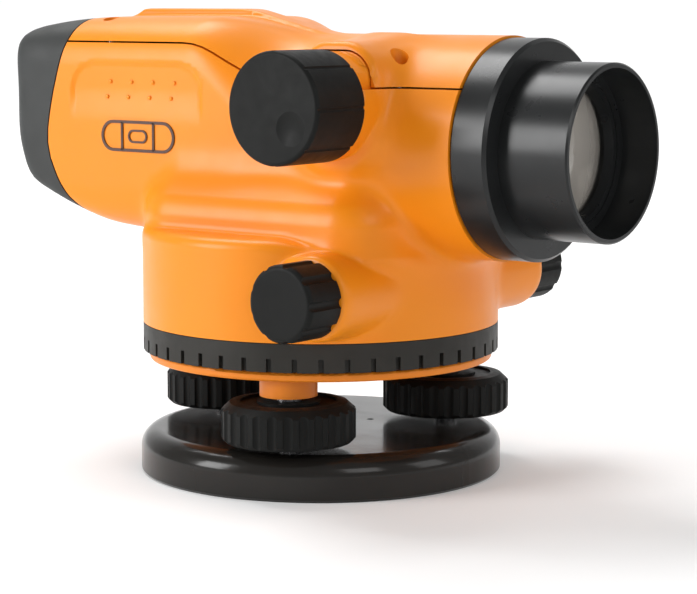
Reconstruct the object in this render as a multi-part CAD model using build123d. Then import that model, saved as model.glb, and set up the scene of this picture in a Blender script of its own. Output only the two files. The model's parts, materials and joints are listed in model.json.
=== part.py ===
from build123d import *
from math import asin, cos, pi, radians, sin, sqrt, tau
import os

# Automatic level for building sites.  All sizes are in millimetres.
# Frame: the origin is the centre of the base plate's underside, +Z is the vertical axis that
# the instrument turns on, +X is the way the objective looks, and the focus knob is on -Y.

os.makedirs("parts", exist_ok=True)

# ---- driving dimensions -------------------------------------------------------------------

# base plate and tripod thread
BASE_R = 57.0
BASE_TOP = 13.5
BASE_EDGE = 6.0             # rounding of the top rim
TRIPOD_THREAD_R = 7.9375    # 5/8 inch tripod screw
INSERT_R = 12.0
INSERT_TOP = 12.0
RECESS_R = 50.0             # underside recess that holds the spring plate
RECESS_TOP = 3.5
RECESS_CORE_R = 18.0
SPRING_PLATE_T = 1.2
PLATE_SCREW_CIRCLE = 26.0

# foot screws
SCREW_CIRCLE = 42.0
SCREW_FIRST = -65.4         # polar angle of the first screw, degrees
SCREW_R = 4.0               # M8
NECK_R = 3.3
BALL_R = 4.5
BALL_Z = 8.2
SCREW_TOP = 42.5
KNOB_R = 20.2
KNOB_BOTTOM, KNOB_TOP = 16.0, 28.3
KNOB_FLUTES = 27

# tribrach, the part that the foot screws lift
DISC_R = 54.0
DISC_BOTTOM, DISC_TOP = 35.6, 38.3
BOSS_R = 8.75
BOSS_BOTTOM, BOSS_TOP = 29.8, 43.5
HUB_R = 14.0
HUB_BOTTOM, HUB_TOP = 30.5, 44.0
SEAT_R = 50.8               # wall that the horizontal circle turns on
SEAT_TOP = 44.6
BUSH_R = 6.2

# spindle, clutch and tangent drive
SPINDLE_R = 8.0
COLLAR_R, COLLAR_TOP = 15.0, 48.0
FRICTION_R, FRICTION_TOP = 11.0, 64.0
SPINDLE_TOP = 80.0
RUNNING_FIT = 0.04          # radial clearance of a shaft in its bore
DRIVE_X, DRIVE_Z = 37.1, 61.6
MODULE = 0.8
GEAR_TEETH = 80
GEAR_R = MODULE * GEAR_TEETH / 2
GEAR_HALF = 2.0
WORM_LEAD = pi * MODULE
WORM_R = DRIVE_X - GEAR_R
WORM_TURNS = 5
DRIVE_SHAFT_R = 3.0
DRIVE_BOSS_R = 12.4
DRIVE_BOSS_REAR = 17.0      # how far the oval swelling runs back from the drive shaft
DRIVE_KNOB_R = 11.4
DRIVE_KNOB_IN, DRIVE_KNOB_OUT = 52.6, 66.7

# horizontal circle
RING_R = 56.0
RING_BOTTOM, RING_TOP = 38.7, 47.2
RING_NOTCHES = 45
NOTCH_TOP = 42.7
SCALE_R, SCALE_TOP = 52.2, 52.4

# housing
DRUM_R = 56.0
DRUM_BOTTOM, DRUM_TOP = 47.4, 75.5
DRUM_INSIDE_R, DRUM_CEILING = 52.8, 70.0
SLAB_X0, SLAB_X1, SLAB_Y, SLAB_TOP = -44.0, 51.0, 43.0, 86.5
SLAB_CORNER = 16.0
AXIS_Z = 103.6              # line of sight
TUBE_R, TUBE_BORE = 33.3, 29.8
TUBE_FRONT = 71.5
BODY_Y = 34.0               # half width of the telescope body
BODY_BOTTOM, BODY_TOP = 73.0, 142.0
BODY_CORNER = 16.0
BODY_FRONT, TAPER_FRONT = -20.0, 6.0
WALL = 3.0
SEAM_REAR_Z, SEAM_FRONT_Z = 134.0, 122.0
RAIL_TOP, RAIL_Y = 144.4, 4.0
RAIL_X0, RAIL_X1 = -74.4, -16.0

# focus drive
FOCUS_X, FOCUS_Z = 33.7, 116.8
FOCUS_BOSS_R = 15.6
FOCUS_BOSS_OUT = 43.4
SHOULDER_R = 17.2           # where the housing swells out to the focus boss
SHOULDER_OUT = 36.5
FOCUS_KNOB_R = 16.35
FOCUS_KNOB_IN, FOCUS_KNOB_OUT = 43.7, 65.4
FOCUS_SHAFT_R = 2.5
PINION_MODULE = 0.7
PINION_TEETH = 12
PINION_R = PINION_MODULE * PINION_TEETH / 2
PINION_Y0, PINION_Y1 = -21.2, -17.4
RACK_PITCH_Z = FOCUS_Z - PINION_R
FOCUS_TRAVEL = 11.0
CELL_R = 15.0
GUIDE_R = 17.0

# objective
BEZEL_R, BEZEL_FRONT = 32.7, 83.6
OBJECTIVE_R, OBJECTIVE_FRONT = 26.0, 106.4
MOUTH_R, MOUTH_BACK = 24.5, 94.5    # bore of the tube in front of the lens
LENS_R, LENS_BACK = 20.4, 84.5
LENS_SEAT = 91.4            # front end of the bore that holds the lens
RETAINER_R = 21.8

# eyepiece
EYEPIECE_R = 10.0
DIOPTER_R = 13.0
SLEEVE_REAR, SLEEVE_FRONT = -99.5, -52.0
RETICLE_X = -60.0

# compensator
SWING_X = -29.0
WIRE_TOP_Z, WIRE_FOOT_Z = 118.5, 112.6
WIRE_TOP_X, WIRE_FOOT_X = 10.5, 4.5     # the wires lean towards each other as they go down
# the pendulum swings about the line where the wires' directions meet
SWING_Z = WIRE_FOOT_Z - WIRE_FOOT_X * (WIRE_TOP_Z - WIRE_FOOT_Z) / (WIRE_TOP_X - WIRE_FOOT_X)

# circular level, on the side away from the focus knob
LEVEL_X, LEVEL_Y = -26.0, 46.0
LEVEL_R = 10.0
LEVEL_FLANGE_R = 13.2
LEVEL_BOTTOM, LEVEL_TOP = 74.0, 87.0


# ---- small helpers ------------------------------------------------------------------------

def block(x0, x1, y0, y1, z0, z1):
    """A block between two corners."""
    middle = Pos((x0 + x1) / 2, (y0 + y1) / 2, (z0 + z1) / 2)
    return middle * Box(x1 - x0, y1 - y0, z1 - z0)


def rod_z(r, z0, z1, x=0.0, y=0.0):
    return Pos(x, y, (z0 + z1) / 2) * Cylinder(r, z1 - z0)


def rod_y(r, y0, y1, x=0.0, z=0.0):
    return Pos(x, (y0 + y1) / 2, z) * Rot(90, 0, 0) * Cylinder(r, y1 - y0)


def rod_x(r, x0, x1, y=0.0, z=AXIS_Z):
    return Pos((x0 + x1) / 2, y, z) * Rot(0, 90, 0) * Cylinder(r, x1 - x0)


def tube_z(outer, inner, z0, z1, x=0.0, y=0.0):
    return rod_z(outer, z0, z1, x, y) - rod_z(inner, z0 - 1, z1 + 1, x, y)


def tube_y(outer, inner, y0, y1, x=0.0, z=0.0):
    return rod_y(outer, y0, y1, x, z) - rod_y(inner, y0 - 1, y1 + 1, x, z)


def tube_x(outer, inner, x0, x1, y=0.0, z=AXIS_Z):
    return rod_x(outer, x0, x1, y, z) - rod_x(inner, x0 - 1, x1 + 1, y, z)


def turned(points):
    """A solid turned about Z from (radius, height) points."""
    outline = Polyline(*[(r, 0, z) for r, z in points], close=True)
    return revolve(make_face(outline), axis=Axis.Z)


def turned_x(points, z=AXIS_Z):
    """A solid turned about the X line at height z from (x, radius) points."""
    outline = Polyline(*[(x, 0, z + r) for x, r in points], close=True)
    return revolve(make_face(outline), axis=Axis((0, 0, z), (1, 0, 0)))


def side_profile(points, y0, y1):
    """A prism along Y from (x, z) points."""
    outline = Polyline(*[(x, y0, z) for x, z in points], close=True)
    return extrude(make_face(outline), amount=y1 - y0, dir=(0, 1, 0))


def around(count, first=0.0):
    """Turns about Z, evenly spaced, in degrees."""
    return [Rot(0, 0, first + 360 * i / count) for i in range(count)]


def lens_x(back, front, radius, back_sag, front_sag):
    """A lens on the line of sight from x=back to x=front, measured at its thickest crown.
    A positive sag is a face that bulges outwards, and a negative one is a hollow face."""
    def sag_at(sag, r):
        curve = (radius ** 2 + sag ** 2) / (2 * abs(sag))
        return (curve - sqrt(curve ** 2 - r ** 2)) * (1 if sag > 0 else -1)

    def point(x, r):
        return (x, 0, AXIS_Z + r)

    edges = [
        ThreePointArc(point(back, 0), point(back + sag_at(back_sag, radius / 2), radius / 2),
                      point(back + back_sag, radius)),
        Line(point(back + back_sag, radius), point(front - front_sag, radius)),
        ThreePointArc(point(front - front_sag, radius),
                      point(front - sag_at(front_sag, radius / 2), radius / 2), point(front, 0)),
        Line(point(front, 0), point(back, 0)),
    ]
    return revolve(make_face(edges), axis=Axis((0, 0, AXIS_Z), (1, 0, 0)))


def at_foot_screws(shape):
    """Copies of a shape made on the first foot screw's axis, one for each screw."""
    return [turn * Pos(SCREW_CIRCLE, 0, 0) * shape for turn in around(3, SCREW_FIRST)]


def wheel(teeth, root_r, tip_r, root_width, tip_width, length):
    """A toothed disc about Z, centred on the origin, with straight-sided teeth."""
    points = []
    for i in range(teeth):
        middle = tau * i / teeth
        for radius, half in ((root_r, -root_width / 2), (tip_r, -tip_width / 2),
                             (tip_r, tip_width / 2), (root_r, root_width / 2)):
            angle = middle + asin(half / radius)
            points.append((radius * cos(angle), radius * sin(angle)))
    outline = make_face(Polyline(*points, close=True))
    return Pos(0, 0, -length / 2) * extrude(outline, amount=length)


# ---- base ---------------------------------------------------------------------------------

def base_plate():
    plate = rod_z(BASE_R, 0, BASE_TOP)
    plate = fillet(plate.edges().group_by(Axis.Z)[-1], BASE_EDGE)
    plate = chamfer(plate.edges().group_by(Axis.Z)[0], 0.8)
    plate -= tube_z(RECESS_R, RECESS_CORE_R, -1, RECESS_TOP)
    plate -= rod_z(INSERT_R, -1, INSERT_TOP)
    plate -= rod_z(TRIPOD_THREAD_R + 0.4, 0, BASE_TOP + 1)
    socket = Pos(0, 0, BALL_Z) * Sphere(BALL_R + 0.06) + rod_z(BALL_R + 0.06, 0, BALL_Z)
    socket += rod_z(NECK_R + 0.5, BALL_Z, BASE_TOP + 1)
    for hole in at_foot_screws(socket):
        plate -= hole
    for turn in around(3, SCREW_FIRST + 60):
        plate -= turn * rod_z(1.9, 0, 9.5, PLATE_SCREW_CIRCLE)
    plate -= rod_z(1.1, BASE_TOP - 3, BASE_TOP + 1, 8.6, 14.7)
    return plate


def tripod_thread_insert():
    return tube_z(INSERT_R, TRIPOD_THREAD_R, 0, INSERT_TOP)


def spring_plate():
    z0 = RECESS_TOP - SPRING_PLATE_T
    plate = tube_z(RECESS_R - 1, RECESS_CORE_R + 0.5, z0, RECESS_TOP)
    for turn in around(3, SCREW_FIRST + 60):
        plate -= turn * rod_z(16, 0, BASE_TOP, RECESS_R + 3)
        plate -= turn * rod_z(1.9, 0, BASE_TOP, PLATE_SCREW_CIRCLE)
    return plate


def spring_plate_screws():
    z1 = RECESS_TOP - SPRING_PLATE_T
    screw = rod_z(3.5, 0.6, z1, PLATE_SCREW_CIRCLE) + rod_z(1.9, z1, 9.0, PLATE_SCREW_CIRCLE)
    screw -= block(PLATE_SCREW_CIRCLE - 3, PLATE_SCREW_CIRCLE + 3, -0.5, 0.5, 0, 1.3)
    return [turn * screw for turn in around(3, SCREW_FIRST + 60)]


# ---- foot screws --------------------------------------------------------------------------

def foot_screw_shaft():
    shaft = Pos(0, 0, BALL_Z) * Sphere(BALL_R) + rod_z(NECK_R, BALL_Z, KNOB_BOTTOM)
    thread = rod_z(SCREW_R, KNOB_BOTTOM, SCREW_TOP)
    return shaft + chamfer(thread.edges().group_by(Axis.Z)[-1], 0.8)


def foot_screw_knob():
    rim = Circle(KNOB_R)
    for turn in around(KNOB_FLUTES):
        rim -= turn * Pos(KNOB_R + 0.9, 0) * Circle(1.75)
    knob = Pos(0, 0, KNOB_BOTTOM) * extrude(rim, amount=KNOB_TOP - KNOB_BOTTOM)
    bevel = turned([(0, KNOB_BOTTOM), (KNOB_R - 1.2, KNOB_BOTTOM), (KNOB_R, KNOB_BOTTOM + 1.2),
                    (KNOB_R, KNOB_TOP - 2.6), (KNOB_R - 2.4, KNOB_TOP - 0.4),
                    (KNOB_R - 4.5, KNOB_TOP), (0, KNOB_TOP)])
    knob &= bevel
    knob -= tube_z(14.5, 9.5, KNOB_TOP - 0.8, KNOB_TOP + 1)
    return knob - rod_z(SCREW_R, 0, SCREW_TOP)


# ---- tribrach -----------------------------------------------------------------------------

def tribrach_body():
    body = rod_z(DISC_R, DISC_BOTTOM, DISC_TOP)
    body = fillet(body.edges().group_by(Axis.Z)[-1] + body.edges().group_by(Axis.Z)[0], 0.8)
    body += rod_z(HUB_R, HUB_BOTTOM, HUB_TOP)
    body += tube_z(SEAT_R, SEAT_R - 3.3, DISC_TOP, SEAT_TOP)
    for boss in at_foot_screws(rod_z(BOSS_R, BOSS_BOTTOM, BOSS_TOP)):
        body += boss
    for turn in around(3, SCREW_FIRST):
        body += turn * block(HUB_R - 1, SCREW_CIRCLE, -2, 2, DISC_TOP, DISC_TOP + 3)
    for bore in at_foot_screws(rod_z(BUSH_R, 20, 50)):
        body -= bore
    return body - rod_z(SPINDLE_R, HUB_BOTTOM + 1, HUB_TOP + 1)


def foot_screw_bushes():
    return at_foot_screws(tube_z(BUSH_R, SCREW_R + 0.06, BOSS_BOTTOM, BOSS_TOP - 0.2))


def spindle():
    axle = turned([(0, HUB_BOTTOM + 1), (SPINDLE_R, HUB_BOTTOM + 1), (SPINDLE_R, HUB_TOP),
                   (COLLAR_R, HUB_TOP), (COLLAR_R, COLLAR_TOP), (FRICTION_R, COLLAR_TOP),
                   (FRICTION_R, FRICTION_TOP), (SPINDLE_R, FRICTION_TOP),
                   (SPINDLE_R, SPINDLE_TOP - 0.5), (SPINDLE_R - 0.5, SPINDLE_TOP),
                   (0, SPINDLE_TOP)])
    return axle - rod_z(2.0, SPINDLE_TOP - 12, SPINDLE_TOP + 1)


def clutch_nut():
    nut = tube_z(16, SPINDLE_R, FRICTION_TOP + 1, FRICTION_TOP + 3)
    for turn in around(4):
        nut -= turn * block(14, 18, -1.5, 1.5, FRICTION_TOP, FRICTION_TOP + 4)
    return nut


def thrust_washer():
    return tube_z(11, SPINDLE_R + 0.1, FRICTION_TOP + 3, FRICTION_TOP + 3.6)


def spindle_screw():
    head = rod_z(10.5, SPINDLE_TOP, SPINDLE_TOP + 1.2) + rod_z(4, SPINDLE_TOP, SPINDLE_TOP + 4)
    head += rod_z(2.0, SPINDLE_TOP - 11, SPINDLE_TOP + 1)
    slot = block(-5, 5, -0.6, 0.6, SPINDLE_TOP + 3, SPINDLE_TOP + 5)
    return head - slot


# ---- friction clutch and drive gear -------------------------------------------------------

def drive_gear():
    gear = wheel(GEAR_TEETH, GEAR_R - 1.1, GEAR_R + 0.65, 1.15, 0.55, 2 * GEAR_HALF)
    # half a tooth round, so that the worm's thread at rest lies in a gap
    gear = Pos(0, 0, DRIVE_Z) * Rot(0, 0, 180 / GEAR_TEETH) * gear
    gear += rod_z(15.5, COLLAR_TOP + 0.1, DRIVE_Z)
    for side in (-1, 1):
        z = DRIVE_Z + side * 1.5
        gear -= tube_z(27.5, 15.5, z - 0.5, z + 0.5)
    for turn in around(6):
        gear -= turn * rod_z(3.5, DRIVE_Z - 5, DRIVE_Z + 5, 21.5)
    return gear - rod_z(FRICTION_R + RUNNING_FIT, 40, 70)


def clutch_washer():
    return tube_z(15, FRICTION_R + 0.3, DRIVE_Z + GEAR_HALF, FRICTION_TOP + 0.7)


# ---- horizontal circle --------------------------------------------------------------------

def circle_ring():
    section = Circle(RING_R) - Circle(SEAT_R + 0.15)
    notched = section
    for turn in around(RING_NOTCHES, 4):
        notched -= turn * Pos(RING_R, 0) * Rectangle(3.0, 1.6)
    ring = Pos(0, 0, RING_BOTTOM) * extrude(notched, amount=NOTCH_TOP - RING_BOTTOM)
    ring += Pos(0, 0, NOTCH_TOP) * extrude(section, amount=RING_TOP - NOTCH_TOP)
    return ring


def circle_scale():
    return tube_z(SCALE_R, SEAT_R + 0.2, RING_TOP, SCALE_TOP)


# ---- housing ------------------------------------------------------------------------------

def body_face(inset):
    """Rounded section of the telescope body, where its taper to the front tube begins."""
    low, high = BODY_BOTTOM + inset, BODY_TOP - inset
    across = Plane(origin=(BODY_FRONT, 0, (low + high) / 2), x_dir=(0, 1, 0), z_dir=(1, 0, 0))
    return across * RectangleRounded(2 * (BODY_Y - inset), high - low, BODY_CORNER - inset)


def body_taper(inset):
    """The stretch where the rounded box turns into the round front tube."""
    radius = TUBE_R - inset
    across = Plane(origin=(TAPER_FRONT, 0, AXIS_Z), x_dir=(0, 1, 0), z_dir=(1, 0, 0))
    return loft([body_face(inset), across * RectangleRounded(2 * radius, 2 * radius,
                                                             radius - 0.01)])


def body_side(inset):
    """Side outline of the telescope body, with the eyepiece end on the left."""
    top, bottom = BODY_TOP - inset, BODY_BOTTOM + inset
    points = [(-86, top), (-101 + inset, 138.5 - inset), (-106.5 + inset, 129.5),
              (-104 + inset, 119.5), (-104.5 + inset, 105), (-97 + inset, 89 + inset),
              (-66, bottom + 1.5), (-50, bottom - 1), (0, bottom - 1), (0, top)]
    return side_profile(points, -60, 60)


def body_plan(inset):
    """Plan outline of the telescope body, rounded round the eyepiece end."""
    x0, half = -106.5 + inset, BODY_Y - inset
    slab = block(x0, 60, -half, half, 50, 160)
    return fillet(slab.edges().filter_by(Axis.Z).group_by(Axis.X)[0], 14 - inset)


def telescope_body(inset):
    """The rounded box and its taper, with every wall moved inwards by the inset."""
    box = extrude(body_face(inset), amount=130, dir=(-1, 0, 0))
    return (box & body_side(inset) & body_plan(inset)) + body_taper(inset)


def rear_cover_zone():
    """Everything behind the slanted joint between the rear cover and the housing."""
    points = [(-120, 150), (-75.2, 150), (-75.7, 137), (-83.3, 115), (-86, 98.8),
              (-73.8, 81), (-60, 73.5), (-60, 60), (-120, 60)]
    return side_profile(points, -60, 60)


def top_cover_zone():
    """Everything above the seam of the top cover."""
    points = [(-90, SEAM_REAR_Z), (-26, SEAM_REAR_Z), (-20, SEAM_REAR_Z - 2),
              (-6.2, SEAM_FRONT_Z + 3.3), (1, SEAM_FRONT_Z), (90, SEAM_FRONT_Z), (90, 160),
              (-90, 160)]
    zone = side_profile(points, -60, 60)
    boss = block(FOCUS_X - 12.3, FOCUS_X + 12.3, -60, -28.5, FOCUS_Z, SEAM_REAR_Z - 0.8)
    boss = fillet(boss.edges().filter_by(Axis.Y).group_by(Axis.Z)[-1], 9)
    return zone - boss - rod_y(FOCUS_BOSS_R + 0.1, -60, -SHOULDER_OUT, FOCUS_X, FOCUS_Z)


def slab():
    top = block(SLAB_X0, SLAB_X1, -SLAB_Y, SLAB_Y, DRUM_TOP - 2, SLAB_TOP)
    top = fillet(top.edges().filter_by(Axis.Z), SLAB_CORNER)
    return fillet(top.edges().group_by(Axis.Z)[-1], 3)


def drum():
    barrel = rod_z(DRUM_R, DRUM_BOTTOM, DRUM_TOP)
    return fillet(barrel.edges().group_by(Axis.Z)[-1], 4)


def drive_boss(side):
    """Oval boss on the drum that carries a drive shaft bush."""
    y0, y1 = sorted((side * 30, side * (DRIVE_KNOB_IN - 0.3)))
    boss = rod_y(DRIVE_BOSS_R, y0, y1, DRIVE_X, DRIVE_Z)
    reach = sorted((side * 30, side * 49))
    half = DRIVE_BOSS_R - 0.6
    oval = block(DRIVE_X - DRIVE_BOSS_REAR, DRIVE_X + half, *reach, DRIVE_Z - half, DRIVE_Z + half)
    return boss + fillet(oval.edges().filter_by(Axis.Y), half - 0.1)


def level_pocket():
    return rod_z(LEVEL_FLANGE_R + 0.2, LEVEL_BOTTOM, SLAB_TOP + 12, LEVEL_X, LEVEL_Y)


def case():
    """Drum, slab, telescope body and front tube as one hollow casting, before it is split."""
    shell = drum() + slab() + telescope_body(0) + rod_x(TUBE_R, TAPER_FRONT - 1, TUBE_FRONT)
    for side in (-1, 1):
        shell += drive_boss(side)
    shell += rod_y(FOCUS_BOSS_R, -FOCUS_BOSS_OUT, -20, FOCUS_X, FOCUS_Z)
    shell += rod_y(SHOULDER_R, -SHOULDER_OUT, -20, FOCUS_X, FOCUS_Z)
    rail = side_profile([(RAIL_X0, BODY_TOP - 3), (RAIL_X0, BODY_TOP), (RAIL_X0 + 4, RAIL_TOP),
                         (RAIL_X1 - 11, RAIL_TOP), (RAIL_X1, BODY_TOP), (RAIL_X1, BODY_TOP - 3)],
                        -RAIL_Y, RAIL_Y)
    shell += rail
    shell -= telescope_body(WALL)
    shell -= rod_x(TUBE_BORE, TAPER_FRONT - 2, TUBE_FRONT + 1)
    shell -= rod_z(DRUM_INSIDE_R, DRUM_BOTTOM - 1, DRUM_CEILING)
    lower = BODY_BOTTOM + WALL
    shell += rod_z(15, DRUM_CEILING, SPINDLE_TOP - 2)
    shell += (block(-74, -71, -BODY_Y, BODY_Y, lower - 2, BODY_TOP - 1) & telescope_body(0.5))
    for side in (-1, 1):
        shell += rod_z(4, 116, 134, -68, side * 22)
        shell += rod_z(3.5, 114.5, 123, 47.5, side * 23.5)
    shell -= level_pocket()
    return shell


def cover_screw_places():
    """(x, y, top of the screw head, top of the counterbore) for the four cover screws."""
    return [(47.5, -23.5, 124.0, 132), (47.5, 23.5, 124.0, 132),
            (-68, -22, 138.0, 146), (-68, 22, 138.0, 146)]


def main_housing():
    shell = case() - rear_cover_zone() - top_cover_zone()
    shell -= rod_z(11, DRUM_CEILING - 5, SPINDLE_TOP + 5)
    shell -= rod_y(5.5, -60, 60, DRIVE_X, DRIVE_Z)
    shell -= rod_y(6, -60, -20, FOCUS_X, FOCUS_Z)
    shell -= rod_x(13.5, -90, -60)
    shell -= block(-60, -50, -9, 9, 49.2, 58.2)
    for x, y, top, _ in cover_screw_places():
        shell -= rod_z(1.5, top - 9, top, x, y)
    return shell


def top_cover():
    cover = (case() & top_cover_zone()) - rear_cover_zone()
    for x, y, top, mouth in cover_screw_places():
        cover -= rod_z(1.5, top - 12, mouth, x, y) + rod_z(2.6, top - 1.8, mouth, x, y)
    return cover - rod_y(6, -60, -20, FOCUS_X, FOCUS_Z)


def rear_cover():
    cover = case() & rear_cover_zone()
    return cover - rod_x(13.6, -120, -80) - rod_x(14.6, -120, SLEEVE_REAR)


def cover_screws():
    screws = []
    for x, y, top, _ in cover_screw_places():
        screw = rod_z(2.5, top - 1.8, top, x, y) + rod_z(1.5, top - 9, top - 1, x, y)
        for turn in (0, 90):
            screw -= Pos(x, y, top) * Rot(0, 0, turn) * Box(3, 0.7, 1.4)
        screws.append(screw)
    return screws


def circle_window():
    pane = tube_z(DRUM_R - 0.4, DRUM_INSIDE_R + 0.2, 49.2, 58.2)
    return pane & block(-60, -50, -9, 9, 49.2, 58.2)


def bearing_plate():
    plate = tube_z(28, 11, DRUM_CEILING - 2.0, DRUM_CEILING)
    for turn in around(3, 30):
        plate -= turn * rod_z(1.6, 60, 80, 23)
    return plate


def bearing_plate_screws():
    screw = rod_z(3.0, DRUM_CEILING - 3.6, DRUM_CEILING - 2, 23)
    screw += rod_z(1.6, DRUM_CEILING - 2, DRUM_CEILING, 23)
    return [turn * screw for turn in around(3, 30)]


def bearing_bush():
    return tube_z(11, SPINDLE_R + RUNNING_FIT, DRUM_CEILING - 2.1, SPINDLE_TOP - 0.2)


# ---- objective ----------------------------------------------------------------------------

def front_ring():
    return turned_x([(TUBE_FRONT - 4.5, OBJECTIVE_R), (TUBE_FRONT - 4.5, TUBE_BORE),
                     (TUBE_FRONT, TUBE_BORE), (TUBE_FRONT, BEZEL_R - 0.8),
                     (TUBE_FRONT + 0.8, BEZEL_R), (BEZEL_FRONT - 1, BEZEL_R),
                     (BEZEL_FRONT, BEZEL_R - 1), (BEZEL_FRONT, OBJECTIVE_R)])


def objective_tube():
    return turned_x([(67, 18.5), (67, OBJECTIVE_R), (OBJECTIVE_FRONT - 0.5, OBJECTIVE_R),
                     (OBJECTIVE_FRONT, OBJECTIVE_R - 0.5), (OBJECTIVE_FRONT, MOUTH_R),
                     (MOUTH_BACK, MOUTH_R), (MOUTH_BACK, RETAINER_R), (LENS_SEAT, RETAINER_R),
                     (LENS_SEAT, LENS_R), (LENS_BACK, LENS_R), (LENS_BACK, 18.5)])


def objective_lens():
    return lens_x(LENS_BACK, LENS_SEAT + 1.2, LENS_R, 1.6, 3.2)


def lens_retaining_ring():
    return turned_x([(LENS_SEAT, 19.2), (LENS_SEAT, RETAINER_R), (LENS_SEAT + 2.6, RETAINER_R),
                     (LENS_SEAT + 2.6, 20.2)])


# ---- focusing -----------------------------------------------------------------------------

def focus_guide():
    guide = tube_x(GUIDE_R, CELL_R + RUNNING_FIT, -1, 67)
    for x0 in (18, 64):
        flange = tube_x(TUBE_BORE, GUIDE_R - 1, x0, x0 + 3)
        for i in range(6):
            angle = radians(30 + 60 * i)
            flange -= rod_x(4, x0 - 1, x0 + 4, 23.3 * cos(angle), AXIS_Z + 23.3 * sin(angle))
        guide += flange
    guide -= block(10, 30, PINION_Y0 - 6, -GUIDE_R, 104, 120)
    half = 6 + FOCUS_TRAVEL + 0.6
    return guide - block(FOCUS_X - half, FOCUS_X + half, -18, -10, 106.5, RACK_PITCH_Z)


def focus_carriage():
    cell = rod_x(CELL_R, FOCUS_X - 8.7, FOCUS_X + 8.7)
    cell -= rod_x(10.5, FOCUS_X - 10, FOCUS_X + 10) + rod_x(12, FOCUS_X - 10, FOCUS_X + 4)
    root = RACK_PITCH_Z - 0.95
    web = block(FOCUS_X - 6, FOCUS_X + 6, -18, -12.5, 107.5, 111)
    rack = block(FOCUS_X - 17, FOCUS_X + 17, PINION_Y0 + 0.2, PINION_Y1 - 0.2, 107.5, root)
    pitch = pi * PINION_MODULE
    half_count = int(16.2 / pitch)
    tip = RACK_PITCH_Z + 0.5
    for i in range(-half_count, half_count):
        # the pinion has a tooth pointing at the rack at rest, so the rack has a gap there
        x = FOCUS_X + (i + 0.5) * pitch
        rack += side_profile([(x - 0.5, root - 0.2), (x - 0.5, root), (x - 0.22, tip),
                              (x + 0.22, tip), (x + 0.5, root), (x + 0.5, root - 0.2)],
                             PINION_Y0 + 0.2, PINION_Y1 - 0.2)
    return cell + web + rack


def focusing_lens():
    return lens_x(FOCUS_X + 0.6, FOCUS_X + 2.4, 12, -1.6, -1.6)


def focus_shaft():
    shaft = rod_y(FOCUS_SHAFT_R, -62, -16.6, FOCUS_X, FOCUS_Z)
    pinion = wheel(PINION_TEETH, PINION_R - 0.9, PINION_R + 0.55, 1.05, 0.45,
                   PINION_Y1 - PINION_Y0)
    middle = (PINION_Y0 + PINION_Y1) / 2
    # turned so that one tooth points straight down at the rack
    return shaft + Pos(FOCUS_X, middle, FOCUS_Z) * Rot(90, 0, 0) * Rot(0, 0, -90) * pinion


def focus_bush():
    return tube_y(6, FOCUS_SHAFT_R + RUNNING_FIT, -FOCUS_BOSS_OUT, -25, FOCUS_X, FOCUS_Z)


def knob_with_grooves(radius, y0, y1, x, z, grooves, groove_r, edge, shaft_r, shaft_end):
    """A control knob on the line (x, z) along Y, its outer face at y1."""
    low, high = sorted((y0, y1))
    knob = rod_y(radius, low, high, x, z)
    outer = knob.edges().sort_by(Axis.Y)[0 if y1 < y0 else -1]
    knob = fillet(outer, edge)
    for i in range(grooves):
        angle = tau * i / grooves
        reach = radius + 0.45 * groove_r
        knob -= rod_y(groove_r, low - 1, high + 1, x + reach * cos(angle), z + reach * sin(angle))
    bore = sorted((y0 - (1 if y1 > y0 else -1), shaft_end))
    return knob - rod_y(shaft_r, *bore, x, z)


def focus_knob():
    knob = knob_with_grooves(FOCUS_KNOB_R, -FOCUS_KNOB_IN, -FOCUS_KNOB_OUT, FOCUS_X, FOCUS_Z,
                             8, 0.7, 1.2, FOCUS_SHAFT_R, -62)
    dimple = Pos(FOCUS_X + 6.5, -FOCUS_KNOB_OUT - 17.3, FOCUS_Z - 5.5) * Sphere(18)
    return knob - dimple


# ---- tangent drive ------------------------------------------------------------------------

def drive_shaft():
    half = WORM_TURNS * WORM_LEAD / 2
    root_r = WORM_R - 1.05
    helix = Helix(pitch=WORM_LEAD, height=2 * half, radius=root_r)
    start = Plane(origin=helix @ 0, x_dir=(1, 0, 0), z_dir=helix % 0)
    tooth = Polyline((-0.4, -0.62), (1.65, -0.3), (1.65, 0.3), (-0.4, 0.62), close=True)
    thread = sweep(start * make_face(tooth), path=helix, is_frenet=True)
    worm = Pos(0, 0, half) * Cylinder(root_r, 2 * half + 6) + thread
    shaft = Pos(0, 0, half) * Cylinder(DRIVE_SHAFT_R, 2 * 64)
    whole = Pos(0, 0, -half) * (worm + shaft)
    # the thread crosses the line between the two axes in the middle of the worm
    return Pos(DRIVE_X, 0, DRIVE_Z) * Rot(90, 0, 0) * whole


def drive_knob(side):
    knob = knob_with_grooves(DRIVE_KNOB_R, side * DRIVE_KNOB_IN, side * DRIVE_KNOB_OUT,
                             DRIVE_X, DRIVE_Z, 9, 1.6, 1.6, DRIVE_SHAFT_R, side * 64)
    return knob


def drive_bushes():
    bore = DRIVE_SHAFT_R + RUNNING_FIT
    return [tube_y(5.5, bore, *sorted((side * 38, side * 52.2)), DRIVE_X, DRIVE_Z)
            for side in (-1, 1)]


# ---- compensator --------------------------------------------------------------------------

def compensator_frame():
    frame = block(-50, -8, -17, 17, 85, 122) - block(-46, -12, -14, 14, 88, 130)
    frame -= rod_x(10, -60, 0)
    frame -= rod_y(12, -30, 30, SWING_X, SWING_Z)
    for x in (-39.5, -18.5):
        frame += block(x - 1.5, x + 1.5, -14.5, 14.5, 118.5, 121)
    for x in (-46.5, -12.5):
        for y in (-13, 13):
            frame += rod_z(2.8, BODY_BOTTOM + WALL, 86, x, y)
    return frame


def fixed_prisms():
    return [side_profile([(x, 98), (x, 110), (x + toward, 98)], -8, 8)
            for x, toward in ((-12, -9.5), (-46, 9.5))]


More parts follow.
